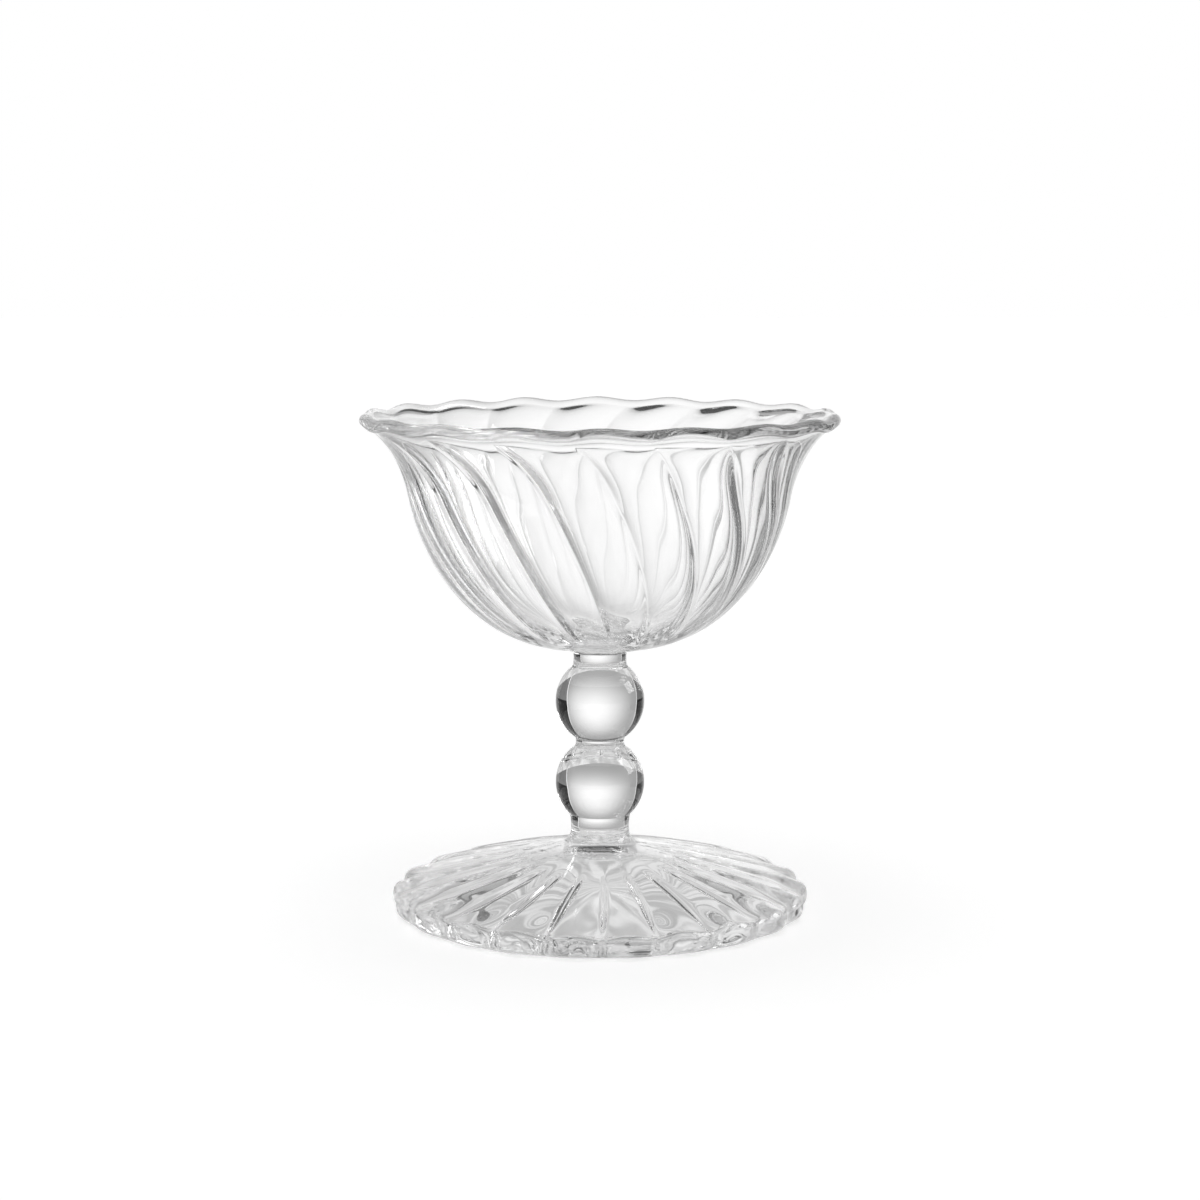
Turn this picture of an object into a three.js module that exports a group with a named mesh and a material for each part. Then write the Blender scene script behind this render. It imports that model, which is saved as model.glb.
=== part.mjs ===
// Footed ice cream bowl in clear glass. A ribbed foot, a stem of two balls between three collars and a
// twisted, fluted bowl stand on one axis, each fused to the next on a flat round seat.
import * as THREE from "three";

// Driving dimensions in millimetres and degrees. +Z is the axis, -Y the front, and the foot rests on z = 0.

// Foot: a thin dome, hollow below, from a softly squared edge over the instep to the seat of the stem
const FOOT_DIAMETER = 94.4;
const FOOT_HEIGHT = 14.8;
const FOOT_SEAT_DIAMETER = 17.6;
const FOOT_EDGE_THICKNESS = 5.6;
const FOOT_EDGE_TURN = 72;
const FOOT_EDGE_SQUARE = 0.62;
const FOOT_EDGE_EASE = 15;
const FOOT_INSTEP_LEAN = 70;
const FOOT_INSTEP_EASE = 5;
const FOOT_REST_WIDTH = 2.2;
const FOOT_CENTRE_THICKNESS = 2.8;
const FOOT_HOLLOW_CROWN = 5;
const FOOT_HOLLOW_SKIRT = 8.2;
const FOOT_HOLLOW_EASE = 20;

// Petals of the foot: shallow creases on top, a narrow rib under each and notches round the edge
const FOOT_PETALS = 22;
const FOOT_TWIST = 5;
const FOOT_CREASE_DEPTH = 0.5;
const FOOT_RIB_DEPTH = 0.8;
const FOOT_RIB_WIDTH = 2.2;
const FOOT_RIB_START = 16;
const FOOT_RIB_FULL = 23;
const FOOT_RIB_FADE = 4;
const FOOT_SCALLOP = 1.2;
const FOOT_SCALLOP_RISE = 1.1;
const FOOT_SCALLOP_REACH = 15;

// Stem: balls, and nearly straight collars that flare out to the seats at their ends
const KNOP_DIAMETER = 20;
const LOWER_SEAT_DIAMETER = 13.8;
const LOWER_COLLAR_HEIGHT = 6.7;
const MIDDLE_SEAT_DIAMETER = 11.6;
const MIDDLE_COLLAR_HEIGHT = 2.3;
const UPPER_SEAT_DIAMETER = 12.6;
const UPPER_COLLAR_HEIGHT = 4.45;
const COLLAR_WAIST = 0.35;
const COLLAR_FLARE = 3;

// Bowl: the outer wall runs from the seat round the belly to the waist, then flares to the beaded lip
const RIM_DIAMETER = 107;
const BOWL_HEIGHT = 53;
const BOWL_SEAT_DIAMETER = 13.8;
const BELLY_FULLNESS = 19;
const WAIST_DIAMETER = 85.3;
const WAIST_HEIGHT = 34.4;
const WAIST_LEAN = 11;
const WAIST_FULLNESS = 19;
const FLARE_RISE = 6.5;
const LIP_LEAN = 58;
const LIP_EASE = 6.4;
const LIP_BEAD = 3.1;
const LIP_PROUD = 0.4;
const WALL = 1.6;
const FLOOR_THICKNESS = 4;
const FLOOR_FADE = 2.5;

// Flutes of the bowl: creases that turn round it from the seat to the lip, with a thick ridge inside, and
// the shares of the wall where they reach full depth and fade again
const BOWL_PETALS = 18;
const FLUTE_DEPTH = 0.25;
const FLUTE_DEPTH_INSIDE = 1.6;
const FLUTE_THINNING = 1.5;
const FLUTE_FULL = 0.3;
const FLUTE_FADE = 0.7;
const TWIST_WALL = 30;
const TWIST_LIP = 10.5;
const TWIST_ONSET = 5;
const LIP_CREASE_ANGLE = -9.6;
const LIP_SCALLOP = 0.7;
const LIP_SCALLOP_OUT = 0.28;
const LIP_ONSET = 12;

// Edge of a crease: how round it is, and how hollow its flanks are
const CREASE_SOFTNESS = 0.35;
const CREASE_FLANK = 3.5;

// Facets, gathered round each petal towards its creases
const CREASE_GATHER = 0.8;
const STEPS_PER_FOOT_PETAL = 4;
const STEPS_PER_BOWL_PETAL = 6;
const STEPS_ROUND_STEM = 40;
const STEPS_ALONG_WALL = 14;
const STEPS_INSIDE = 11;
const STEPS_OVER_LIP = 4;
const STEPS_ALONG_FOOT = 9;
const STEPS_UNDER_FOOT = 8;
const STEPS_ROUND_EDGE = 5;
const STEPS_ALONG_COLLAR = 6;
const STEPS_ALONG_KNOP = 12;

// Seats, worked out upwards from the foot
const KNOP_RADIUS = KNOP_DIAMETER / 2;
const LOWER_KNOP_Z = FOOT_HEIGHT + LOWER_COLLAR_HEIGHT;
const MIDDLE_COLLAR_Z = LOWER_KNOP_Z + knopHeight(LOWER_SEAT_DIAMETER, MIDDLE_SEAT_DIAMETER);
const UPPER_KNOP_Z = MIDDLE_COLLAR_Z + MIDDLE_COLLAR_HEIGHT;
const UPPER_COLLAR_Z = UPPER_KNOP_Z + knopHeight(MIDDLE_SEAT_DIAMETER, UPPER_SEAT_DIAMETER);
const BOWL_Z = UPPER_COLLAR_Z + UPPER_COLLAR_HEIGHT;

function radians(degrees) {
  return THREE.MathUtils.degToRad(degrees);
}

// A direction in the profile that leans outwards from +Z by an angle
function leaning(degrees) {
  return new THREE.Vector2(Math.sin(radians(degrees)), Math.cos(radians(degrees)));
}

// Half height of a knop from its centre to a flat seat of the given diameter
function knopReach(seatDiameter) {
  return Math.sqrt(KNOP_RADIUS ** 2 - (seatDiameter / 2) ** 2);
}

function knopHeight(bottomSeat, topSeat) {
  return knopReach(bottomSeat) + knopReach(topSeat);
}

// 1 on a crease and 0 past its flanks, which are hollow and meet in a softened edge
function crest(distance, width) {
  const rounded = Math.hypot(distance, CREASE_SOFTNESS) - CREASE_SOFTNESS;
  return Math.max(1 - (2 * rounded) / width, 0) ** CREASE_FLANK;
}

// A station is one ring of a revolved shape: its place, its twist, its move on a crease of some width, which
// is a whole petal where none is given, and its move in the notch between two petals
function station(point, moves = {}) {
  return { point, twist: 0, crease: new THREE.Vector2(), notch: new THREE.Vector2(), ...moves };
}

// Revolves the stations round +Z, from the front towards +X, with a crease and a notch between petals
function petalRevolve(stations, petals, stepsPerPetal) {
  const steps = petals * stepsPerPetal;
  const pitch = (2 * Math.PI) / petals;
  const geometry = new THREE.LatheGeometry(stations.map((ring) => ring.point), steps);
  const position = geometry.attributes.position;
  for (let i = 0; i < position.count; i += 1) {
    const ring = stations[i % stations.length];
    const step = Math.floor(i / stations.length) % steps;
    const even = (2 * Math.PI * (step % stepsPerPetal)) / stepsPerPetal;
    const turn = even - CREASE_GATHER * Math.sin(even);
    const angle = (2 * Math.PI * Math.floor(step / stepsPerPetal) + turn) / petals;
    const away = (Math.min(turn, 2 * Math.PI - turn) / petals) * ring.point.x;
    const fold = crest(away, ring.width ?? Math.max(pitch * ring.point.x, CREASE_SOFTNESS));
    const dip = (1 + Math.cos(turn)) / 2;
    const radius = ring.point.x + ring.crease.x * fold + ring.notch.x * dip;
    const height = ring.point.y + ring.crease.y * fold + ring.notch.y * dip;
    const turned = angle + ring.twist;
    position.setXYZ(i, radius * Math.sin(turned), -radius * Math.cos(turned), height);
  }
  geometry.computeVertexNormals();
  return geometry;
}

// A point on the section of the foot's edge, turned from its outer side: squarer than a circle
function squared(turn) {
  const out = Math.sign(Math.cos(turn)) * Math.abs(Math.cos(turn)) ** FOOT_EDGE_SQUARE;
  const up = Math.sign(Math.sin(turn)) * Math.abs(Math.sin(turn)) ** FOOT_EDGE_SQUARE;
  return new THREE.Vector2(out, up);
}

function plainRevolve(points) {
  return new THREE.LatheGeometry(points, STEPS_ROUND_STEM).rotateX(Math.PI / 2);
}

function footGeometry() {
  const edge = FOOT_EDGE_THICKNESS / 2;
  const edgeCentre = new THREE.Vector2(FOOT_DIAMETER / 2 - edge, edge);
  const restInside = edgeCentre.x - FOOT_REST_WIDTH;
  const crown = FOOT_HEIGHT - FOOT_CENTRE_THICKNESS;
  const hollow = new THREE.CubicBezierCurve(
    new THREE.Vector2(0, crown),
    new THREE.Vector2(FOOT_HOLLOW_CROWN, crown),
    new THREE.Vector2(restInside - FOOT_HOLLOW_EASE, FOOT_HOLLOW_SKIRT),
    new THREE.Vector2(restInside, 0),
  );

  // The top runs inwards from the edge and rises over the instep to the collar's seat
  const edgeTop = radians(FOOT_EDGE_TURN);
  const shoulder = squared(edgeTop).multiplyScalar(edge).add(edgeCentre);
  const inwards = new THREE.Vector2(-Math.sin(edgeTop), Math.cos(edgeTop));
  const seat = new THREE.Vector2(FOOT_SEAT_DIAMETER / 2, FOOT_HEIGHT);
  const top = new THREE.CubicBezierCurve(
    shoulder,
    inwards.multiplyScalar(FOOT_EDGE_EASE).add(shoulder),
    leaning(180 - FOOT_INSTEP_LEAN).multiplyScalar(FOOT_INSTEP_EASE).add(seat),
    seat,
  );

  // Ribs and creases die out towards the stem and at the ring that the foot rests on
  const ribbing = (radius) =>
    THREE.MathUtils.smoothstep(radius, FOOT_RIB_START, FOOT_RIB_FULL) *
    (1 - THREE.MathUtils.smoothstep(radius, restInside - FOOT_RIB_FADE, restInside));
  const notching = (radius) =>
    THREE.MathUtils.smoothstep(radius, edgeCentre.x - FOOT_SCALLOP_REACH, edgeCentre.x);
  const twisting = (radius) => radians(FOOT_TWIST) * (1 - radius / edgeCentre.x);

  const stations = [];
  for (const point of hollow.getSpacedPoints(STEPS_UNDER_FOOT)) {
    const crease = new THREE.Vector2(0, -FOOT_RIB_DEPTH * ribbing(point.x));
    stations.push(station(point, { twist: twisting(point.x), crease, width: FOOT_RIB_WIDTH }));
  }
  for (let i = 0; i <= STEPS_ROUND_EDGE; i += 1) {
    const turn = THREE.MathUtils.lerp(-Math.PI / 2, edgeTop, i / STEPS_ROUND_EDGE);
    const out = squared(turn);
    const notch = new THREE.Vector2(-FOOT_SCALLOP * out.x, -FOOT_SCALLOP_RISE * Math.max(out.y, 0));
    stations.push(station(out.multiplyScalar(edge).add(edgeCentre), { notch }));
  }
  for (const point of top.getSpacedPoints(STEPS_ALONG_FOOT).slice(1)) {
    const crease = new THREE.Vector2(0, -FOOT_CREASE_DEPTH * ribbing(point.x));
    const notch = new THREE.Vector2(0, -FOOT_SCALLOP_RISE * notching(point.x));
    stations.push(station(point, { twist: twisting(point.x), crease, notch }));
  }
  stations.push(station(new THREE.Vector2(0, FOOT_HEIGHT)));
  return petalRevolve(stations, FOOT_PETALS, STEPS_PER_FOOT_PETAL);
}

// Collar between two flat seats, drawn in to a straight waist between its flared ends
function collarGeometry(bottomSeat, topSeat, height) {
  const waist = Math.min(bottomSeat, topSeat) / 2 - COLLAR_WAIST;
  const points = [new THREE.Vector2(0, 0)];
  for (let i = 0; i <= STEPS_ALONG_COLLAR; i += 1) {
    const below = Math.cos((Math.PI * i) / STEPS_ALONG_COLLAR);
    const end = (below > 0 ? bottomSeat : topSeat) / 2;
    const radius = THREE.MathUtils.lerp(waist, end, Math.abs(below) ** COLLAR_FLARE);
    points.push(new THREE.Vector2(radius, (height * (1 - below)) / 2));
  }
  points.push(new THREE.Vector2(0, height));
  return plainRevolve(points);
}

// Ball with a flat seat at each end
function knopGeometry(bottomSeat, topSeat) {
  const centre = knopReach(bottomSeat);
  const start = -Math.acos(bottomSeat / KNOP_DIAMETER);
  const end = Math.acos(topSeat / KNOP_DIAMETER);
  const points = [new THREE.Vector2(0, 0)];
  for (let i = 0; i <= STEPS_ALONG_KNOP; i += 1) {
    const turn = THREE.MathUtils.lerp(start, end, i / STEPS_ALONG_KNOP);
    points.push(new THREE.Vector2(KNOP_RADIUS * Math.cos(turn), centre + KNOP_RADIUS * Math.sin(turn)));
  }
  points.push(new THREE.Vector2(0, knopHeight(bottomSeat, topSeat)));
  return plainRevolve(points);
}

function bowlGeometry() {
  const bead = LIP_BEAD / 2;
  const seat = BOWL_SEAT_DIAMETER / 2;
  const lipRise = leaning(LIP_LEAN);
  const lipOut = new THREE.Vector2(lipRise.y, -lipRise.x);
  const beadCentre = new THREE.Vector2(RIM_DIAMETER / 2 - bead, BOWL_HEIGHT - bead);
  const waist = new THREE.Vector2(WAIST_DIAMETER / 2, WAIST_HEIGHT);
  const lip = lipOut.clone().multiplyScalar(bead - LIP_PROUD).add(beadCentre);
  const belowWaist = leaning(WAIST_LEAN).multiplyScalar(-WAIST_FULLNESS).add(waist);
  const aboveWaist = leaning(WAIST_LEAN).multiplyScalar(FLARE_RISE).add(waist);
  const belowLip = lipRise.clone().multiplyScalar(-LIP_EASE).add(lip);
  const wall = new THREE.Path();
  wall.moveTo(seat, 0);
  wall.bezierCurveTo(seat + BELLY_FULLNESS, 0, belowWaist.x, belowWaist.y, waist.x, waist.y);
  wall.bezierCurveTo(aboveWaist.x, aboveWaist.y, belowLip.x, belowLip.y, lip.x, lip.y);

  // Along the wall, share runs from 0 at the seat to 1 at the lip
  const thickness = (share) => WALL + (FLOOR_THICKNESS - WALL) * (1 - share) ** FLOOR_FADE;
  const twisting = (share) =>
    radians(LIP_CREASE_ANGLE + TWIST_WALL * (1 - share) + TWIST_LIP * (1 - share ** TWIST_ONSET));
  const fluting = (share) =>
    THREE.MathUtils.smoothstep(share, 0, FLUTE_FULL) *
    (1 - THREE.MathUtils.smoothstep(share, FLUTE_FADE, 1));
  const notching = (share) =>
    new THREE.Vector2(-LIP_SCALLOP_OUT, -LIP_SCALLOP).multiplyScalar(share ** LIP_ONSET);
  const wallStation = (share, depth, inset) => {
    const rise = wall.getTangent(share);
    const out = new THREE.Vector2(rise.y, -rise.x);
    const point = out.clone().multiplyScalar(-inset).add(wall.getPoint(share));
    const cut = depth * fluting(share) * (point.x / waist.x) ** FLUTE_THINNING;
    const crease = out.clone().multiplyScalar(-cut);
    return station(point, { twist: twisting(share), crease, notch: notching(share) });
  };

  const stations = [station(new THREE.Vector2(0, 0))];
  for (let i = 0; i < STEPS_ALONG_WALL; i += 1) {
    stations.push(wallStation(i / STEPS_ALONG_WALL, FLUTE_DEPTH, 0));
  }
  for (let i = 0; i <= STEPS_OVER_LIP; i += 1) {
    const turn = (Math.PI * i) / STEPS_OVER_LIP;
    const across = lipOut.clone().multiplyScalar(bead * Math.cos(turn));
    const over = lipRise.clone().multiplyScalar(bead * Math.sin(turn));
    stations.push(station(over.add(across).add(beadCentre), { twist: twisting(1), notch: notching(1) }));
  }
  for (let i = STEPS_INSIDE - 1; i >= 0; i -= 1) {
    const share = i / STEPS_INSIDE;
    stations.push(wallStation(share, FLUTE_DEPTH_INSIDE, thickness(share)));
  }
  stations.push(station(new THREE.Vector2(0, FLOOR_THICKNESS)));
  return petalRevolve(stations, BOWL_PETALS, STEPS_PER_BOWL_PETAL);
}

const part = new THREE.Group();
part.name = "footed_ice_cream_bowl";

function addPiece(name, geometry, seatZ) {
  const clearGlass = new THREE.MeshStandardMaterial({ color: 0xdfe7e8, roughness: 0.05 });
  clearGlass.name = "clear_glass";
  const piece = new THREE.Mesh(geometry, clearGlass);
  piece.name = name;
  piece.position.z = seatZ;
  part.add(piece);
}

addPiece("foot", footGeometry(), 0);
addPiece(
  "lower_collar",
  collarGeometry(FOOT_SEAT_DIAMETER, LOWER_SEAT_DIAMETER, LOWER_COLLAR_HEIGHT),
  FOOT_HEIGHT,
);
addPiece("lower_knop", knopGeometry(LOWER_SEAT_DIAMETER, MIDDLE_SEAT_DIAMETER), LOWER_KNOP_Z);
addPiece(
  "middle_collar",
  collarGeometry(MIDDLE_SEAT_DIAMETER, MIDDLE_SEAT_DIAMETER, MIDDLE_COLLAR_HEIGHT),
  MIDDLE_COLLAR_Z,
);
addPiece("upper_knop", knopGeometry(MIDDLE_SEAT_DIAMETER, UPPER_SEAT_DIAMETER), UPPER_KNOP_Z);
addPiece(
  "upper_collar",
  collarGeometry(UPPER_SEAT_DIAMETER, BOWL_SEAT_DIAMETER, UPPER_COLLAR_HEIGHT),
  UPPER_COLLAR_Z,
);
addPiece("bowl", bowlGeometry(), BOWL_Z);

export default part;
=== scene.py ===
"""Footed ice cream bowl of clear hand-worked glass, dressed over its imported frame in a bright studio."""

import math

import bpy
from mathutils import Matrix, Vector
from mathutils.geometry import interpolate_bezier


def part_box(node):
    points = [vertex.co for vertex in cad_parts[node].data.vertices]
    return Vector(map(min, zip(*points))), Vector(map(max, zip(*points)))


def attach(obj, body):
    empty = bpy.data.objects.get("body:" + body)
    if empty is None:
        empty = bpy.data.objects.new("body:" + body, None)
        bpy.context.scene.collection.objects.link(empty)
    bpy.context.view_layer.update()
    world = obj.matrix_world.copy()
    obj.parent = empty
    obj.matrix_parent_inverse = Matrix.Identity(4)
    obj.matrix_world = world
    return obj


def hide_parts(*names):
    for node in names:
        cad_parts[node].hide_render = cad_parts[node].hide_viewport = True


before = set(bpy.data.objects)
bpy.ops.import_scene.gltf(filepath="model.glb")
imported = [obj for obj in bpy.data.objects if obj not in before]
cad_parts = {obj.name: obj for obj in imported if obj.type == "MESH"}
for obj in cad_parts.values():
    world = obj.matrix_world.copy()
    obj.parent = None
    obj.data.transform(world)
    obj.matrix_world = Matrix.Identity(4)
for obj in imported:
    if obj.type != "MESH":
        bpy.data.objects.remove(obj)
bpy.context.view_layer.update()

MM = 0.001
NONE = Vector((0, 0))

# Sizes of the glass are in millimetres and degrees, and the dressed glass stays inside the solids by a skin
SKIN = 0.15

# Foot: a thin dome, hollow below, from a softly squared edge over the instep to the seat of the stem
FOOT_DIAMETER = 94.4
FOOT_EDGE_THICKNESS = 5.6
FOOT_EDGE_TURN = 72
FOOT_EDGE_SQUARE = 0.85
FOOT_EDGE_EASE = 15
FOOT_INSTEP_LEAN = 70
FOOT_INSTEP_EASE = 5
FOOT_REST_WIDTH = 2.2
FOOT_CENTRE_THICKNESS = 2.8
FOOT_HOLLOW_CROWN = 5
FOOT_HOLLOW_SKIRT = 8.2
FOOT_HOLLOW_EASE = 20

# Petals of the foot: shallow creases on top, a narrow rib under each and notches round the edge
FOOT_PETALS = 22
FOOT_TWIST = 5
FOOT_CREASE_DEPTH = 0.16
FOOT_RIB_DEPTH = 1.15
FOOT_RIB_DRIFT = 0.7
FOOT_RIB_WIDTH = 2.4
FOOT_RIB_START = 16
FOOT_RIB_FULL = 23
FOOT_RIB_FADE = 8
FOOT_SCALLOP = 1.2
FOOT_SCALLOP_RISE = 1.1
FOOT_SCALLOP_REACH = 8

# Stem: balls and the seats between all the pieces, and collars drawn in between their flared ends
KNOP_DIAMETER = 20
FOOT_SEAT_DIAMETER = 17.6
LOWER_SEAT_DIAMETER = 13.8
MIDDLE_SEAT_DIAMETER = 11.6
UPPER_SEAT_DIAMETER = 12.6
BOWL_SEAT_DIAMETER = 13.8
COLLAR_WAIST = 0.35
COLLAR_FLARE = 3

# Bowl: the outer wall runs from the seat round the belly to the waist, then flares to the beaded lip
RIM_DIAMETER = 107
BOWL_HEIGHT = 53
BELLY_FULLNESS = 19
WAIST_DIAMETER = 85.3
WAIST_HEIGHT = 34.4
WAIST_LEAN = 11
WAIST_FULLNESS = 19
FLARE_RISE = 6.5
LIP_LEAN = 58
LIP_EASE = 6.4
LIP_BEAD = 3.1
LIP_PROUD = 0.6
WALL = 1.6
FLOOR_THICKNESS = 4
FLOOR_FADE = 2.5

# How late on the way up the wall the bead sets in, outside as a neck and inside as a swelling: the higher
# the power, the sharper it is, and it is sharp in front and soft behind
LIP_NECK = 120
LIP_NECK_SOFT = 5
LIP_SWELL = 30
LIP_SWELL_SOFT = 5

# Petals of the lip: how far it dips and draws in between them, how much more behind, and how late
LIP_SCALLOP = 0.7
LIP_SCALLOP_OUT = 0.28
LIP_SCALLOP_BACK = 0.3
LIP_ONSET = 7

# Flutes of the bowl: creases that turn round it from the seat to the lip, with a thick ridge inside, and the
# shares of the wall where they reach full depth and fade again
BOWL_PETALS = 18
FLUTE_DEPTH = 0.25
FLUTE_DEPTH_INSIDE = 1.55
FLUTE_FLANK = 3.3
FLUTE_THINNING = 2.4
FLUTE_FULL = 0.35
FLUTE_FADE = 0.78
CREASE_SOFTNESS = 0.3
TWIST_WALL = 30
TWIST_LIP = 10.5
TWIST_ONSET = 4
LIP_CREASE_ANGLE = -9.6

# Unevenness of hand work: waves round a piece as count, share and phase, and for each thing that drifts
# where it starts and how far it goes
DRIFT_WAVES = ((2, 0.5, 1), (3, 0.35, 2.1), (7, 0.3, 3.7))
RIDGE_START = 4.6
RIDGE_DRIFT = 0.2
NOTCH_START = 0.4
NOTCH_DRIFT = 0.15
TWIST_START = 2.2
TWIST_DRIFT = 0.9

# Steps of the meshes, gathered round each petal towards its creases, and the angle of an edge kept sharp
STEPS_PETAL = 28
CREASE_GATHER = 0.8
STEPS_ROUND_STEM = 160
STEPS_COLLAR = 32
STEPS_KNOP = 96
STEPS_HOLLOW = 60
STEPS_FOOT_EDGE = 20
STEPS_FOOT_TOP = 90
STEPS_BELLY = 200
STEPS_FLARE = 120
STEPS_WALL = 110
STEPS_LIP = 24
SHARP_EDGE = 35


def linear(hex_colour):
    """One sRGB hex colour as linear red, green, blue and a full alpha."""
    parts = [int(hex_colour[i : i + 2], 16) / 255 for i in (1, 3, 5)]
    return tuple(c / 12.92 if c <= 0.04045 else ((c + 0.055) / 1.055) ** 2.4 for c in parts) + (1.0,)


def add_node(tree, kind, settings=None, links=None):
    """A node with its settings (attributes, or sockets by name or number) and the links to its sockets."""
    node = tree.nodes.new(kind)
    for key, value in (settings or {}).items():
        if isinstance(key, int) or key in node.inputs:
            node.inputs[key].default_value = value
        else:
            setattr(node, key, value)
    for key, source in (links or {}).items():
        tree.links.new(source, node.inputs[key])
    return node


def new_material(name):
    material = bpy.data.materials.new(name)
    material.use_nodes = True
    material.node_tree.nodes.clear()
    return material, material.node_tree


def noise_at(tree, size, detail=0.0):
    """Noise of a size in millimetres in the piece's own space."""
    place = add_node(tree, "ShaderNodeTexCoord")
    settings = {"Scale": 1 / (size * MM), "Detail": detail}
    noise = add_node(tree, "ShaderNodeTexNoise", settings, {"Vector": place.outputs["Object"]})
    return noise.outputs[0]


def worked_glass(name, wave_size, wave_height, cords, cord_length, cord_height):
    """Clear soda glass with slow waves of the hot surface and fine cords drawn along the flow of the glass.

    Sizes are in millimetres; cords is how many cords go round the piece in one radian."""
    material, tree = new_material(name)
    flow = add_node(tree, "ShaderNodeAttribute", {"attribute_name": "flow"})
    drawn = add_node(
        tree,
        "ShaderNodeVectorMath",
        {"operation": "MULTIPLY", 1: (cords, cords, 1 / cord_length)},
        {0: flow.outputs["Vector"]},
    )
    cord = add_node(
        tree, "ShaderNodeTexNoise", {"Scale": 1.0, "Detail": 0.0}, {"Vector": drawn.outputs[0]}
    )
    slow = add_node(
        tree,
        "ShaderNodeBump",
        {"Strength": 1.0, "Distance": wave_height * MM},
        {"Height": noise_at(tree, wave_size)},
    )
    fine = add_node(
        tree,
        "ShaderNodeBump",
        {"Strength": 1.0, "Distance": cord_height * MM},
        {"Height": cord.outputs[0], "Normal": slow.outputs[0]},
    )
    glass = add_node(
        tree,
        "ShaderNodeBsdfPrincipled",
        {"Base Color": linear("#fefefe"), "Roughness": 0.0, "IOR": 1.52, "Transmission Weight": 1.0},
        {"Normal": fine.outputs[0]},
    )
    add_node(tree, "ShaderNodeOutputMaterial", links={"Surface": glass.outputs[0]})
    return material


def fused_glass(name, wisp_size):
    """Glass melted to glass: clear, with a breath of haze in wisps of a size in millimetres."""
    material, tree = new_material(name)
    shades = {"data_type": "RGBA", 6: linear("#fdfdfd"), 7: linear("#ffffff")}
    haze = add_node(tree, "ShaderNodeMix", shades, {0: noise_at(tree, wisp_size)})
    clear = add_node(tree, "ShaderNodeBsdfTransparent", links={"Color": haze.outputs[2]})
    add_node(tree, "ShaderNodeOutputMaterial", links={"Surface": clear.outputs[0]})
    return material


# Soda glass blown in a ribbed mould and twisted: sharp and bright, with slow waves and faint cords
BLOWN = worked_glass(
    "blown_soda_glass", wave_size=16, wave_height=0.02, cords=12, cord_length=60, cord_height=0.015
)

# Soda glass pressed out as it spins: stronger waves, which bend the table under it and its painted caustic
# rays into streaks and fans
SPUN = worked_glass(
    "spun_soda_glass", wave_size=14, wave_height=0.25, cords=7, cord_length=25, cord_height=0.03
)

# Soda glass drawn and rounded at the lamp: nearly still, so the balls hold a clean picture upside down
DRAWN = worked_glass(
    "lampworked_soda_glass", wave_size=12, wave_height=0.003, cords=8, cord_length=6, cord_height=0.001
)

# Soda glass fused hot to soda glass: no face to see, so the stem reads as one run of glass
SEAM = fused_glass("hot_fused_soda_glass", wisp_size=3)


def smoothstep(x, low, high):
    t = min(max((x - low) / (high - low), 0), 1)
    return t * t * (3 - 2 * t)


def leaning(degrees):
    """A direction in the profile that leans outwards from up by an angle."""
    return Vector((math.sin(math.radians(degrees)), math.cos(math.radians(degrees))))


def squared(turn, square):
    """A point of a rounded square section: a circle at 1, and squarer below that."""
    across = math.copysign(abs(math.cos(turn)) ** square, math.cos(turn))
    return Vector((across, math.copysign(abs(math.sin(turn)) ** square, math.sin(turn))))


def curve_points(knot, handle, next_handle, next_knot, steps):
    knots = [p.to_3d() for p in (knot, handle, next_handle, next_knot)]
    return [p.to_2d() for p in interpolate_bezier(*knots, steps + 1)]


def even_stops(points, steps):
    """Points and tangents at even shares of the length of a polyline."""
    lengths = [0.0]
    for a, b in zip(points, points[1:]):
        lengths.append(lengths[-1] + (b - a).length)
    stops = []
    j = 0
    for i in range(steps + 1):
        target = lengths[-1] * i / steps
        while j < len(points) - 2 and lengths[j + 1] < target:
            j += 1
        t = (target - lengths[j]) / (lengths[j + 1] - lengths[j])
        before = points[max(j - 1, 0)]
        after = points[min(j + 2, len(points) - 1)]
        stops.append((points[j].lerp(points[j + 1], t), (after - before).normalized()))
    return stops


def crest(distance, width):
    """1 on a crease and 0 past its flanks, which are hollow and meet in a softened edge."""
    rounded = math.hypot(distance, CREASE_SOFTNESS) - CREASE_SOFTNESS
    return max(1 - 2 * rounded / width, 0) ** FLUTE_FLANK


def round_rib(distance, width):
    """1 on top of a round rib and 0 past its sides."""
    return 0.5 + 0.5 * math.cos(2 * math.pi * min(distance / width, 0.5))


def trough(turn, pitch):
    """1 in the dip between two petals of an edge and 0 on top of a petal, with no corner."""
    return 0.5 + 0.5 * math.cos(2 * math.pi * turn / pitch)


def drift(angle, start):
    """Small unevenness round a piece made by hand, about -1 to 1."""
    return sum(share * math.sin(count * angle + phase * start) for count, share, phase in DRIFT_WAVES)


def ring(
    point, crease=NONE, rib_width=None, scallop=NONE, neck=NONE, twist=0.0, back=0.0, uneven=RIDGE_DRIFT
):
    """One ring of a piece: where it runs, and how far a crease, a petal's notch and a neck move it.

    A crease with no width of its own fills its petal; with one it is a round rib."""
    return {
        "point": point,
        "crease": crease,
        "rib_width": rib_width,
        "scallop": scallop,
        "neck": neck,
        "twist": twist,
        "back": back,
        "uneven": uneven,
    }


def round_angles(petals):
    """Angles round a piece, each with its angle from the nearest crease, gathered towards the creases."""
    if not petals:
        return [(2 * math.pi * i / STEPS_ROUND_STEM, 0.0) for i in range(STEPS_ROUND_STEM)]
    pitch = 2 * math.pi / petals
    spots = []
    for k in range(petals):
        for i in range(STEPS_PETAL):
            t = i / STEPS_PETAL
            t -= CREASE_GATHER / (2 * math.pi) * math.sin(2 * math.pi * t)
            spots.append((pitch * (k + t), pitch * min(t, 1 - t)))
    return spots


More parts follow.
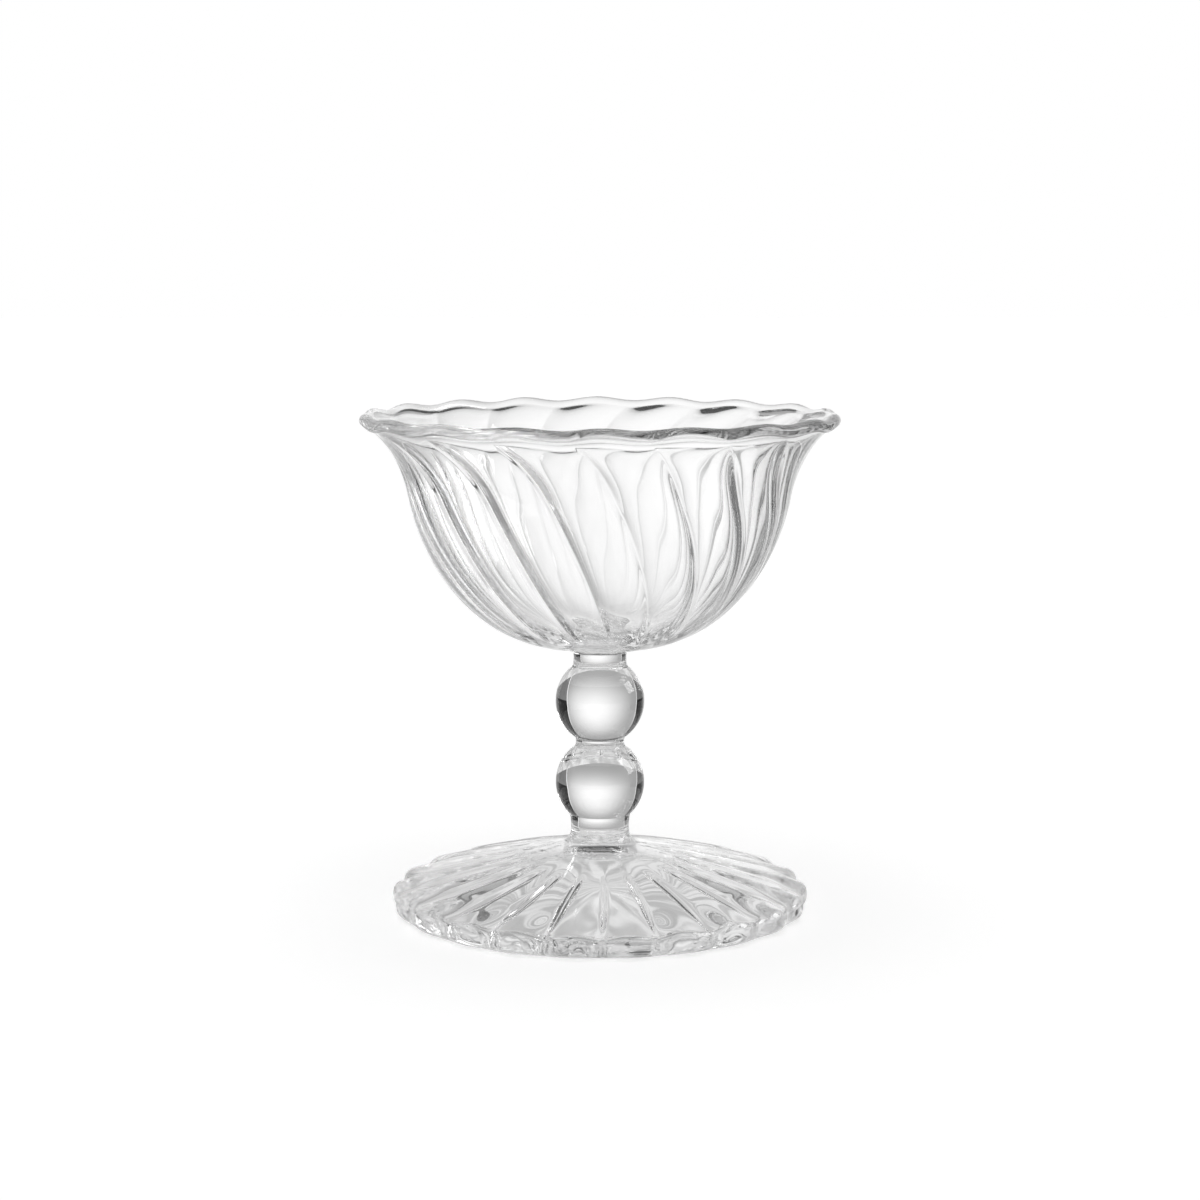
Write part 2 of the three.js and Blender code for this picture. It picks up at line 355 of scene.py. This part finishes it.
def worked_point(r, angle, turn, petals):
    """One point of a ring as the glass was worked there: its place in the profile and its angle."""
    point = r["point"]
    turned = angle + r["twist"]
    if not petals:
        return point, turned
    pitch = 2 * math.pi / petals
    away = turn * point.x
    fold = round_rib(away, r["rib_width"]) if r["rib_width"] else crest(away, point.x * pitch)
    fold *= 1 + r["uneven"] * drift(angle, RIDGE_START)
    notch = trough(turn, pitch)
    notch *= 1 + NOTCH_DRIFT * drift(angle, NOTCH_START) - r["back"] * math.cos(turned)
    front = 0.5 + 0.5 * math.cos(turned)
    place = point + fold * r["crease"] + notch * r["scallop"] + front * r["neck"]
    return place, turned + math.radians(TWIST_DRIFT) * drift(angle, TWIST_START)


def ring_faces(count, steps, seams):
    """Faces of rings that are closed to a point at each end, and 1 for each face that is a fused seam."""
    top = 1 + count * steps
    last = top - steps
    faces = []
    marks = []
    for i in range(steps):
        faces.append((0, 1 + (i + 1) % steps, 1 + i))
        marks.append(int("bottom" in seams))
    for start in range(1, last, steps):
        for i in range(steps):
            n = (i + 1) % steps
            faces.append((start + i, start + n, start + steps + n, start + steps + i))
            marks.append(0)
    for i in range(steps):
        faces.append((last + i, last + (i + 1) % steps, top))
        marks.append(int("top" in seams))
    return faces, marks


def glass_piece(name, node, rings, petals, seat_z, glass, seams):
    """Revolves rings in millimetres into a closed piece that replaces a node of the frame.

    The seams are the ends that are fused to the next piece. The flow of the glass, round and along the
    profile, goes with each point for the cords."""
    spots = round_angles(petals)
    body = rings[1:-1]
    verts = [(0, 0, (rings[0]["point"].y + seat_z) * MM)]
    flow = [0.0, 0.0, 0.0]
    run = 0.0
    before = rings[0]["point"]
    for r in body:
        run += (r["point"] - before).length
        before = r["point"]
        for angle, turn in spots:
            place, turned = worked_point(r, angle, turn, petals)
            radius = place.x * MM
            height = (place.y + seat_z) * MM
            verts.append((radius * math.sin(turned), -radius * math.cos(turned), height))
            flow += (math.sin(angle), -math.cos(angle), run)
    verts.append((0, 0, (rings[-1]["point"].y + seat_z) * MM))
    flow += (0.0, 0.0, run)
    faces, marks = ring_faces(len(body), len(spots), seams)
    mesh = bpy.data.meshes.new(name)
    mesh.from_pydata(verts, [], faces)
    mesh.attributes.new("flow", "FLOAT_VECTOR", "POINT").data.foreach_set("vector", flow)
    mesh.materials.append(glass)
    mesh.materials.append(SEAM)
    mesh.polygons.foreach_set("material_index", marks)
    mesh.polygons.foreach_set("use_smooth", [True] * len(faces))
    mesh.set_sharp_from_angle(angle=math.radians(SHARP_EDGE))
    mesh.update()
    piece = bpy.data.objects.new(name, mesh)
    bpy.context.collection.objects.link(piece)
    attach(piece, "root")
    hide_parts(node)


def height_of(node):
    """Bottom and top of a node of the frame, in millimetres."""
    low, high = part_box(node)
    return low.z / MM, high.z / MM


def make_foot():
    height = height_of("foot")[1]
    radius = FOOT_DIAMETER / 2 - SKIN
    edge = FOOT_EDGE_THICKNESS / 2
    centre = Vector((radius - edge, edge))
    rest_inside = centre.x - FOOT_REST_WIDTH
    crown = height - FOOT_CENTRE_THICKNESS
    hollow = curve_points(
        Vector((0, crown)),
        Vector((FOOT_HOLLOW_CROWN, crown)),
        Vector((rest_inside - FOOT_HOLLOW_EASE, FOOT_HOLLOW_SKIRT)),
        Vector((rest_inside, 0)),
        STEPS_HOLLOW,
    )
    edge_turn = math.radians(FOOT_EDGE_TURN)
    shoulder = centre + edge * squared(edge_turn, FOOT_EDGE_SQUARE)
    inwards = Vector((-math.sin(edge_turn), math.cos(edge_turn)))
    seat = Vector((FOOT_SEAT_DIAMETER / 2, height))
    top = curve_points(
        shoulder,
        shoulder + FOOT_EDGE_EASE * inwards,
        seat + FOOT_INSTEP_EASE * leaning(180 - FOOT_INSTEP_LEAN),
        seat,
        STEPS_FOOT_TOP,
    )

    def twist(r):
        return math.radians(FOOT_TWIST) * (1 - r / centre.x)

    def ribbing(r):
        fade = 1 - smoothstep(r, rest_inside - FOOT_RIB_FADE, rest_inside)
        return smoothstep(r, FOOT_RIB_START, FOOT_RIB_FULL) * fade

    rings = []
    for p in hollow:
        down = Vector((0, -FOOT_RIB_DEPTH * ribbing(p.x)))
        rings.append(ring(p, down, FOOT_RIB_WIDTH, twist=twist(p.x), uneven=FOOT_RIB_DRIFT))
    under = -math.pi / 2
    for i in range(STEPS_FOOT_EDGE + 1):
        out = squared(under + (edge_turn - under) * i / STEPS_FOOT_EDGE, FOOT_EDGE_SQUARE)
        notch = Vector((-FOOT_SCALLOP * out.x, -FOOT_SCALLOP_RISE * max(out.y, 0)))
        rings.append(ring(centre + edge * out, scallop=notch))
    for p in top[1:]:
        dip = Vector((0, -FOOT_CREASE_DEPTH * ribbing(p.x)))
        notching = smoothstep(p.x, centre.x - FOOT_SCALLOP_REACH, centre.x)
        notch = Vector((0, -FOOT_SCALLOP_RISE * notching))
        rings.append(ring(p, dip, scallop=notch, twist=twist(p.x)))
    rings.append(ring(Vector((0, height))))
    glass_piece("spun_foot", "foot", rings, FOOT_PETALS, 0, SPUN, ("top",))


def make_collar(node, bottom, top):
    """A collar between seats of two diameters, drawn in to a waist between its flared ends."""
    low, high = height_of(node)
    waist = min(bottom, top) / 2 - COLLAR_WAIST
    rings = [ring(NONE)]
    for i in range(STEPS_COLLAR + 1):
        share = i / STEPS_COLLAR
        end = bottom / 2 if share < 0.5 else top / 2
        radius = waist + (end - waist) * abs(2 * share - 1) ** COLLAR_FLARE
        rings.append(ring(Vector((radius, (high - low) * share))))
    rings.append(ring(Vector((0, high - low))))
    glass_piece(node + "_glass", node, rings, 0, low, DRAWN, ("bottom", "top"))


def make_knop(node, bottom, top):
    """A ball between flat seats of two diameters."""
    low, high = height_of(node)
    radius = KNOP_DIAMETER / 2
    centre = math.sqrt(radius**2 - (bottom / 2) ** 2)
    start = -math.acos(bottom / KNOP_DIAMETER)
    end = math.acos(top / KNOP_DIAMETER)
    rings = [ring(NONE)]
    for i in range(STEPS_KNOP + 1):
        turn = start + (end - start) * i / STEPS_KNOP
        rings.append(ring(Vector((radius * math.cos(turn), centre + radius * math.sin(turn)))))
    rings.append(ring(Vector((0, high - low))))
    glass_piece(node + "_glass", node, rings, 0, low, DRAWN, ("bottom", "top"))


def make_bowl():
    low = height_of("bowl")[0]
    rise = leaning(LIP_LEAN)
    out = Vector((rise.y, -rise.x))
    bead = LIP_BEAD / 2
    centre = Vector((RIM_DIAMETER / 2 - SKIN - bead, BOWL_HEIGHT - SKIN - bead))
    seat = Vector((BOWL_SEAT_DIAMETER / 2, 0))
    waist = Vector((WAIST_DIAMETER / 2, WAIST_HEIGHT))
    lip = centre + (bead - LIP_PROUD) * out
    belly = curve_points(
        seat,
        seat + Vector((BELLY_FULLNESS, 0)),
        waist - WAIST_FULLNESS * leaning(WAIST_LEAN),
        waist,
        STEPS_BELLY,
    )
    flare = curve_points(
        waist, waist + FLARE_RISE * leaning(WAIST_LEAN), lip - LIP_EASE * rise, lip, STEPS_FLARE
    )
    wall = even_stops(belly + flare[1:], STEPS_WALL)

    def thickness(share, swell):
        floor = (FLOOR_THICKNESS - WALL) * (1 - share) ** FLOOR_FADE
        return WALL + floor + (LIP_BEAD - LIP_PROUD - WALL) * share**swell

    def twist(share):
        turn = TWIST_WALL * (1 - share) + TWIST_LIP * (1 - share**TWIST_ONSET)
        return math.radians(LIP_CREASE_ANGLE + turn)

    def wall_ring(share, point, depth, outward, neck=NONE):
        fluting = smoothstep(share, 0, FLUTE_FULL) * (1 - smoothstep(share, FLUTE_FADE, 1))
        cut = -depth * fluting * min(point.x / waist.x, 1) ** FLUTE_THINNING * outward
        scallop = -(share**LIP_ONSET) * Vector((LIP_SCALLOP_OUT, LIP_SCALLOP))
        return ring(point, cut, None, scallop, neck, twist(share), LIP_SCALLOP_BACK)

    outside = []
    inside = []
    for i, (point, tangent) in enumerate(wall[:-1]):
        share = i / STEPS_WALL
        normal = Vector((tangent.y, -tangent.x))
        soft_neck = LIP_PROUD * share**LIP_NECK_SOFT * normal
        neck = LIP_PROUD * share**LIP_NECK * normal - soft_neck
        outside.append(wall_ring(share, point + soft_neck, FLUTE_DEPTH, normal, neck))
        soft_wall = thickness(share, LIP_SWELL_SOFT)
        swell = (soft_wall - thickness(share, LIP_SWELL)) * normal
        inside.append(wall_ring(share, point - soft_wall * normal, FLUTE_DEPTH_INSIDE, normal, swell))
    over = []
    for i in range(STEPS_LIP + 1):
        turn = math.pi * i / STEPS_LIP
        over.append(wall_ring(1, centre + bead * (math.cos(turn) * out + math.sin(turn) * rise), 0, out))
    floor = ring(Vector((0, FLOOR_THICKNESS)))
    rings = [ring(NONE)] + outside + over + inside[::-1] + [floor]
    glass_piece("blown_bowl", "bowl", rings, BOWL_PETALS, low, BLOWN, ("bottom",))


make_foot()
make_collar("lower_collar", FOOT_SEAT_DIAMETER, LOWER_SEAT_DIAMETER)
make_knop("lower_knop", LOWER_SEAT_DIAMETER, MIDDLE_SEAT_DIAMETER)
make_collar("middle_collar", MIDDLE_SEAT_DIAMETER, MIDDLE_SEAT_DIAMETER)
make_knop("upper_knop", MIDDLE_SEAT_DIAMETER, UPPER_SEAT_DIAMETER)
make_collar("upper_collar", UPPER_SEAT_DIAMETER, BOWL_SEAT_DIAMETER)
make_bowl()

# Studio, in metres and degrees: azimuths run from the back, +Y, towards +X, and levels are shares of white
BOWL_MIDDLE = Vector((0, 0, 0.06))
SET_RADIUS = 2.0
SET_HEIGHT = 1.9
STEPS_CARD = 48
STEPS_MAT = 120

# White floor, the film of air under the foot in millimetres, and the silk overhead that lights the floor
FLOOR_REACH = 4.0
AIR_FILM = 0.3
FLOOR_WHITE = 0.85
FLOOR_GLOW = 0.7
OVERHEAD = 0.24
OVERHEAD_SPREAD = 70

# Backdrop, a card that glows with a painted pool of spot light behind the bowl, which fades outwards
PANEL_RIGHT = 35
PANEL_LEFT = 43
SPOT_TURN = 5
SPOT_RISE = -2
SPOT_LEVEL = 1.09
SPOT_CORE = 2
SPOT_FADE = 42
SPOT_DIM = 0.4

# Black flags on both sides of the backdrop, which draw the dark lines in the glass; their glow is painted
# light that grows lighter outwards
PANEL_GAP = 1.2
FLAG_EDGE = 98
FLAG_NEAR = 0.006
FLAG_FAR = 0.85
FLAG_RAMP = 3

# Mat under the bowl, which glows grey as the bowl's painted shadow, and the darker table at its sides, with
# lifts in millimetres
MAT_BACK = 0.062
MAT_WIDTH = 0.155
MAT_FRONT = 0.32
MAT_LIFT = 0.15
MAT_DIM = 0.55
MAT_BRIGHT = 0.88
TABLE_REACH = 0.36
TABLE_LIFT = 0.1
TABLE_DIM = 0.18
TABLE_BRIGHT = 0.22

# Painted caustic rays on the mat and the table, and painted light from the right: how many rays in a radian,
# their lengths in millimetres, how far they wander, how much lighter they grow in a metre to the right, and
# the noise at which they are darkest and lightest
RAYS = 10
MAT_RAY_LENGTH = 26
TABLE_RAY_LENGTH = 104
RAY_WANDER = 0.6
RAY_LEAN = 2.2
RAY_DARK = 0.3
RAY_LIGHT = 0.7

# Softbox on the right, whose picture is the bright patch in the balls and along the lip
SOFTBOX_TURN = 84
SOFTBOX_RISE = 29
SOFTBOX_DISTANCE = 0.9
SOFTBOX_WIDTH = 0.36
SOFTBOX_HEIGHT = 0.55
SOFTBOX_LEVEL = 5

# Unevenness of paper and cloth, with sizes in millimetres
PAPER_FIBRE = 0.8
PAPER_MOTTLE = 150
PAPER_UNEVEN = 0.015
CLOTH_NAP = 40
CLOTH_UNEVEN = 0.1

# Surroundings: a white sky that darkens overhead, and a dim room behind the camera
AMBIENT = 0.1
SKY_LOW = 12
SKY_HIGH = 45
SKY_TOP = 0.08
ROOM_EDGE = 115
ROOM_FULL = 145
ROOM_LEVEL = 0.15

# Camera, fitted to the photograph
CAMERA_PLACE = (0.0, -0.587765, 0.152602)
CAMERA_PITCH = 7.992
CAMERA_LENS = 79.55
CAMERA_SENSOR = 36

# Light follows many turns in thick glass; mirror turns stop sooner, which sets how dark the lip, the star at
# the bottom of the bowl and the edge of the foot are
BOUNCES = 64
MIRROR_BOUNCES = 28


def link(name, data):
    made = bpy.data.objects.new(name, data)
    bpy.context.collection.objects.link(made)
    return made


def facing(azimuth, rise=0.0):
    """A direction from the bowl, with its azimuth and rise in radians."""
    level = math.cos(rise)
    return Vector((math.sin(azimuth) * level, math.cos(azimuth) * level, math.sin(rise)))


def only_for_glass(card):
    """Keeps a card out of the picture and off the floor: only glass sees it."""
    card.visible_camera = False
    card.visible_diffuse = False
    card.visible_shadow = False


def background_rays(tree):
    """1 for the rays that see the background: the camera's, and those that glass mirrors or lets through."""
    path = add_node(tree, "ShaderNodeLightPath")
    glass = add_node(
        tree,
        "ShaderNodeMath",
        {"operation": "MAXIMUM"},
        {0: path.outputs["Is Glossy Ray"], 1: path.outputs["Is Transmission Ray"]},
    )
    both = add_node(
        tree,
        "ShaderNodeMath",
        {"operation": "MAXIMUM"},
        {0: path.outputs["Is Camera Ray"], 1: glass.outputs[0]},
    )
    return both.outputs[0]


def glowing(tree, level):
    """White light of a level from a card."""
    glow = add_node(tree, "ShaderNodeEmission", {"Color": linear("#ffffff")}, {"Strength": level})
    add_node(tree, "ShaderNodeOutputMaterial", links={"Surface": glow.outputs[0]})


def uneven_level(tree, patch, low, high):
    """A level between two, uneven by patches of a size in millimetres."""
    settings = {"To Min": low, "To Max": high}
    return add_node(
        tree, "ShaderNodeMapRange", settings, {"Value": noise_at(tree, patch, detail=2.0)}
    ).outputs[0]


def floor_paper():
    """Matt white paper: fibres give it a soft tooth, and it takes the bowl's faint shadow."""
    material, tree = new_material("white_paper_floor")
    shades = {"data_type": "RGBA", 6: linear("#ebebeb"), 7: linear("#efefef")}
    fibres = add_node(tree, "ShaderNodeMix", shades, {0: noise_at(tree, PAPER_FIBRE, detail=3.0)})
    diffuse = add_node(tree, "ShaderNodeBsdfDiffuse", links={"Color": fibres.outputs[2]})
    level = add_node(
        tree, "ShaderNodeMath", {"operation": "MULTIPLY", 1: FLOOR_GLOW}, {0: background_rays(tree)}
    )
    glow = add_node(
        tree, "ShaderNodeEmission", {"Color": linear("#ffffff")}, {"Strength": level.outputs[0]}
    )
    both = add_node(tree, "ShaderNodeAddShader", links={0: diffuse.outputs[0], 1: glow.outputs[0]})
    add_node(tree, "ShaderNodeOutputMaterial", links={"Surface": both.outputs[0]})
    return material


def make_floor():
    mesh = bpy.data.meshes.new("studio_floor")
    s = FLOOR_REACH
    z = -AIR_FILM * MM
    mesh.from_pydata([(-s, -s, z), (s, -s, z), (s, s, z), (-s, s, z)], [], [(0, 1, 2, 3)])
    mesh.materials.append(floor_paper())
    link("studio_floor", mesh)


def backdrop_paper():
    """White paper that glows with a painted pool of spot light: the glass is brightest where it shows the
    middle of it.
    """
    material, tree = new_material("painted_spotlight_paper")
    place = add_node(tree, "ShaderNodeTexCoord")
    away = add_node(
        tree,
        "ShaderNodeVectorMath",
        {"operation": "SUBTRACT", 1: BOWL_MIDDLE},
        {0: place.outputs["Object"]},
    )
    towards = add_node(tree, "ShaderNodeVectorMath", {"operation": "NORMALIZE"}, {0: away.outputs[0]})
    # Painted light: the card's glow is strongest towards the spot and fades with the angle from it
    spot = facing(math.radians(SPOT_TURN), math.radians(SPOT_RISE))
    dot = add_node(
        tree, "ShaderNodeVectorMath", {"operation": "DOT_PRODUCT", 1: spot}, {0: towards.outputs[0]}
    )
    angle = add_node(tree, "ShaderNodeMath", {"operation": "ARCCOSINE"}, {0: dot.outputs["Value"]})
    level = add_node(
        tree,
        "ShaderNodeMapRange",
        {
            "interpolation_type": "SMOOTHSTEP",
            "From Min": math.radians(SPOT_CORE),
            "From Max": math.radians(SPOT_FADE),
            "To Min": SPOT_LEVEL,
            "To Max": SPOT_DIM,
        },
        {"Value": angle.outputs[0]},
    )
    mottle = uneven_level(tree, PAPER_MOTTLE, 1 - PAPER_UNEVEN, 1 + PAPER_UNEVEN)
    mottled = add_node(tree, "ShaderNodeMath", {"operation": "MULTIPLY"}, {0: level.outputs[0], 1: mottle})
    glowing(tree, mottled.outputs[0])
    return material


def flag_cloth():
    """Black napped cloth with a painted glow: all but no light near the backdrop, and more towards its outer
    edge.
    """
    material, tree = new_material("black_flag_cloth_painted_glow")
    place = add_node(tree, "ShaderNodeTexCoord")
    split = add_node(tree, "ShaderNodeSeparateXYZ", links={0: place.outputs["Object"]})
    across = add_node(tree, "ShaderNodeMath", {"operation": "ABSOLUTE"}, {0: split.outputs["X"]})
    azimuth = add_node(
        tree, "ShaderNodeMath", {"operation": "ARCTAN2"}, {0: across.outputs[0], 1: split.outputs["Y"]}
    )
    share = add_node(
        tree,
        "ShaderNodeMapRange",
        {"From Min": math.radians(PANEL_LEFT), "From Max": math.radians(FLAG_EDGE)},
        {"Value": azimuth.outputs[0]},
    )
    # Painted light: the black cloth's glow ramps up from the backdrop to the flag's outer edge
    ramp = add_node(tree, "ShaderNodeMath", {"operation": "POWER", 1: FLAG_RAMP}, {0: share.outputs[0]})
    level = add_node(
        tree, "ShaderNodeMapRange", {"To Min": FLAG_NEAR, "To Max": FLAG_FAR}, {"Value": ramp.outputs[0]}
    )
    nap = uneven_level(tree, CLOTH_NAP, 1 - CLOTH_UNEVEN, 1 + CLOTH_UNEVEN)
    napped = add_node(tree, "ShaderNodeMath", {"operation": "MULTIPLY"}, {0: level.outputs[0], 1: nap})
    glowing(tree, napped.outputs[0])
    return material


def softbox_cloth():
    """White diffuser cloth over a lamp: a bright patch in the glass, not quite even."""
    material, tree = new_material("softbox_cloth")
    low = SOFTBOX_LEVEL * (1 - CLOTH_UNEVEN)
    high = SOFTBOX_LEVEL * (1 + CLOTH_UNEVEN)
    glowing(tree, uneven_level(tree, CLOTH_NAP, low, high))
    return material


def painted_caustics_paper(name, dim, bright, ray_length):
    """Glowing paper with painted caustics, the soft rays that a foot of ribbed glass would throw on it, and
    painted light that makes it lighter towards the right.

    The length of the rays is in millimetres."""
    material, tree = new_material(name)
    place = add_node(tree, "ShaderNodeTexCoord")
    towards = add_node(
        tree, "ShaderNodeVectorMath", {"operation": "NORMALIZE"}, {0: place.outputs["Object"]}
    )
    reach = add_node(tree, "ShaderNodeVectorMath", {"operation": "LENGTH"}, {0: place.outputs["Object"]})
    lengths = add_node(
        tree, "ShaderNodeMath", {"operation": "DIVIDE", 1: ray_length * MM}, {0: reach.outputs["Value"]}
    )
    outward = add_node(tree, "ShaderNodeCombineXYZ", links={"Z": lengths.outputs[0]})
    rayed = add_node(
        tree,
        "ShaderNodeVectorMath",
        {"operation": "MULTIPLY_ADD", 1: (RAYS, RAYS, 0)},
        {0: towards.outputs[0], 2: outward.outputs[0]},
    )
    # Painted caustics: noise stretched along rays that run out from the bowl
    noise = add_node(
        tree,
        "ShaderNodeTexNoise",
        {"Scale": 1.0, "Detail": 0.0, "Distortion": RAY_WANDER},
        {"Vector": rayed.outputs[0]},
    )
    split = add_node(tree, "ShaderNodeSeparateXYZ", links={0: place.outputs["Object"]})
    # Painted light from the right: the glow grows lighter towards +X
    painted_light_from_right = add_node(
        tree,
        "ShaderNodeMath",
        {"operation": "MULTIPLY_ADD", 1: RAY_LEAN},
        {0: split.outputs["X"], 2: noise.outputs[0]},
    )
    level = add_node(
        tree,
        "ShaderNodeMapRange",
        {
            "interpolation_type": "SMOOTHSTEP",
            "From Min": RAY_DARK,
            "From Max": RAY_LIGHT,
            "To Min": dim,
            "To Max": bright,
        },
        {"Value": painted_light_from_right.outputs[0]},
    )
    glowing(tree, level.outputs[0])
    return material


def mat_middle(azimuth):
    return 0


def mat_edge(azimuth):
    """Reach of the mat under the bowl that glows grey as its painted shadow: oval behind it, and a longer
    oval towards the camera.
    """
    depth = MAT_BACK if math.cos(azimuth) > 0 else MAT_FRONT
    return 1 / math.hypot(math.sin(azimuth) / MAT_WIDTH, math.cos(azimuth) / depth)


def table_edge(azimuth):
    return TABLE_REACH


def curved_card(name, start, end, material, front):
    """A card that runs over the floor from a front edge, then stands up round the set."""
    verts = []
    faces = []
    lift = Vector((0, 0, (TABLE_LIFT - AIR_FILM) * MM))
    for i in range(STEPS_CARD + 1):
        azimuth = math.radians(start + (end - start) * i / STEPS_CARD)
        outward = facing(azimuth)
        verts += [outward * front(azimuth) + lift, outward * SET_RADIUS + lift]
        verts.append(outward * SET_RADIUS + Vector((0, 0, SET_HEIGHT)))
    for i in range(STEPS_CARD):
        a = 3 * i
        faces.append((a, a + 3, a + 4, a + 1))
        faces.append((a + 1, a + 4, a + 5, a + 2))
    mesh = bpy.data.meshes.new(name)
    mesh.from_pydata(verts, [], faces)
    mesh.materials.append(material)
    only_for_glass(link(name, mesh))


def flat_card(name, start, end, material, inner, outer, lift):
    """A card that lies on the floor between two edges, which give the reach at an azimuth."""
    verts = []
    level = Vector((0, 0, (lift - AIR_FILM) * MM))
    for i in range(STEPS_MAT + 1):
        azimuth = math.radians(start + (end - start) * i / STEPS_MAT)
        verts.append(facing(azimuth) * inner(azimuth) + level)
        verts.append(facing(azimuth) * outer(azimuth) + level)
    faces = [(2 * i, 2 * i + 2, 2 * i + 3, 2 * i + 1) for i in range(STEPS_MAT)]
    mesh = bpy.data.meshes.new(name)
    mesh.from_pydata(verts, [], faces)
    mesh.materials.append(material)
    only_for_glass(link(name, mesh))


def make_cards():
    right = PANEL_RIGHT + PANEL_GAP
    left = -PANEL_LEFT - PANEL_GAP
    curved_card("painted_spotlight_backdrop", -PANEL_LEFT, PANEL_RIGHT, backdrop_paper(), mat_edge)
    cloth = flag_cloth()
    curved_card("right_flag", right, FLAG_EDGE, cloth, table_edge)
    curved_card("left_flag", -FLAG_EDGE, left, cloth, table_edge)
    # The mat's grey glow is the bowl's painted shadow on the table, streaked with painted caustic rays
    light = painted_caustics_paper("mat_paper_painted_shadow", MAT_DIM, MAT_BRIGHT, MAT_RAY_LENGTH)
    flat_card("painted_shadow_mat", -180, 180, light, mat_middle, mat_edge, MAT_LIFT)
    # The side tables glow darker, with the same painted caustic rays and painted light from the right
    plain = painted_caustics_paper("side_table_painted_caustics", TABLE_DIM, TABLE_BRIGHT, TABLE_RAY_LENGTH)
    flat_card("right_table", right, FLAG_EDGE, plain, mat_edge, table_edge, TABLE_LIFT)
    flat_card("left_table", -FLAG_EDGE, left, plain, mat_edge, table_edge, TABLE_LIFT)


def make_softbox():
    turn = math.radians(SOFTBOX_TURN)
    towards = facing(turn, math.radians(SOFTBOX_RISE))
    across = Vector((math.cos(turn), -math.sin(turn), 0)) * SOFTBOX_WIDTH / 2
    up = across.cross(towards).normalized() * SOFTBOX_HEIGHT / 2
    middle = BOWL_MIDDLE + SOFTBOX_DISTANCE * towards
    corners = [middle - across - up, middle + across - up, middle + across + up, middle - across + up]
    mesh = bpy.data.meshes.new("right_softbox")
    mesh.from_pydata(corners, [], [(0, 1, 2, 3)])
    mesh.materials.append(softbox_cloth())
    only_for_glass(link("right_softbox", mesh))


def make_world():
    world = bpy.data.worlds.new("studio")
    bpy.context.scene.world = world
    world.use_nodes = True
    tree = world.node_tree
    tree.nodes.clear()
    place = add_node(tree, "ShaderNodeTexCoord")
    split = add_node(tree, "ShaderNodeSeparateXYZ", links={0: place.outputs["Generated"]})
    rise = add_node(tree, "ShaderNodeMath", {"operation": "ARCSINE"}, {0: split.outputs["Z"]})
    sky = add_node(
        tree,
        "ShaderNodeMapRange",
        {
            "interpolation_type": "SMOOTHSTEP",
            "From Min": math.radians(SKY_LOW),
            "From Max": math.radians(SKY_HIGH),
            "To Min": 1.0,
            "To Max": SKY_TOP,
        },
        {"Value": rise.outputs[0]},
    )
    room = add_node(
        tree,
        "ShaderNodeMapRange",
        {
            "interpolation_type": "SMOOTHSTEP",
            "From Min": math.cos(math.radians(ROOM_EDGE)),
            "From Max": math.cos(math.radians(ROOM_FULL)),
            "To Min": 1.0,
            "To Max": ROOM_LEVEL,
        },
        {"Value": split.outputs["Y"]},
    )
    seen = add_node(
        tree, "ShaderNodeMath", {"operation": "MULTIPLY"}, {0: sky.outputs[0], 1: room.outputs[0]}
    )
    level = add_node(
        tree,
        "ShaderNodeMix",
        {"data_type": "FLOAT", 2: AMBIENT},
        {0: background_rays(tree), 3: seen.outputs[0]},
    )
    back = add_node(
        tree, "ShaderNodeBackground", {"Color": linear("#ffffff")}, {"Strength": level.outputs[0]}
    )
    add_node(tree, "ShaderNodeOutputWorld", links={"Surface": back.outputs[0]})


def make_overhead():
    data = bpy.data.lights.new("overhead_silk", "SUN")
    data.energy = OVERHEAD * math.pi / FLOOR_WHITE
    data.angle = math.radians(OVERHEAD_SPREAD)
    lamp = link("overhead_silk", data)
    lamp.visible_glossy = False
    lamp.visible_transmission = False


def make_camera():
    data = bpy.data.cameras.new("camera")
    data.lens = CAMERA_LENS
    data.sensor_width = CAMERA_SENSOR
    camera = link("camera", data)
    camera.location = CAMERA_PLACE
    camera.rotation_euler = (math.radians(90 - CAMERA_PITCH), 0, 0)
    bpy.context.scene.camera = camera


make_floor()
make_cards()
make_softbox()
make_world()
make_overhead()
make_camera()
scene = bpy.context.scene
scene.view_settings.view_transform = "Standard"
scene.cycles.max_bounces = BOUNCES
scene.cycles.transmission_bounces = BOUNCES
scene.cycles.glossy_bounces = MIRROR_BOUNCES
scene.cycles.transparent_max_bounces = BOUNCES
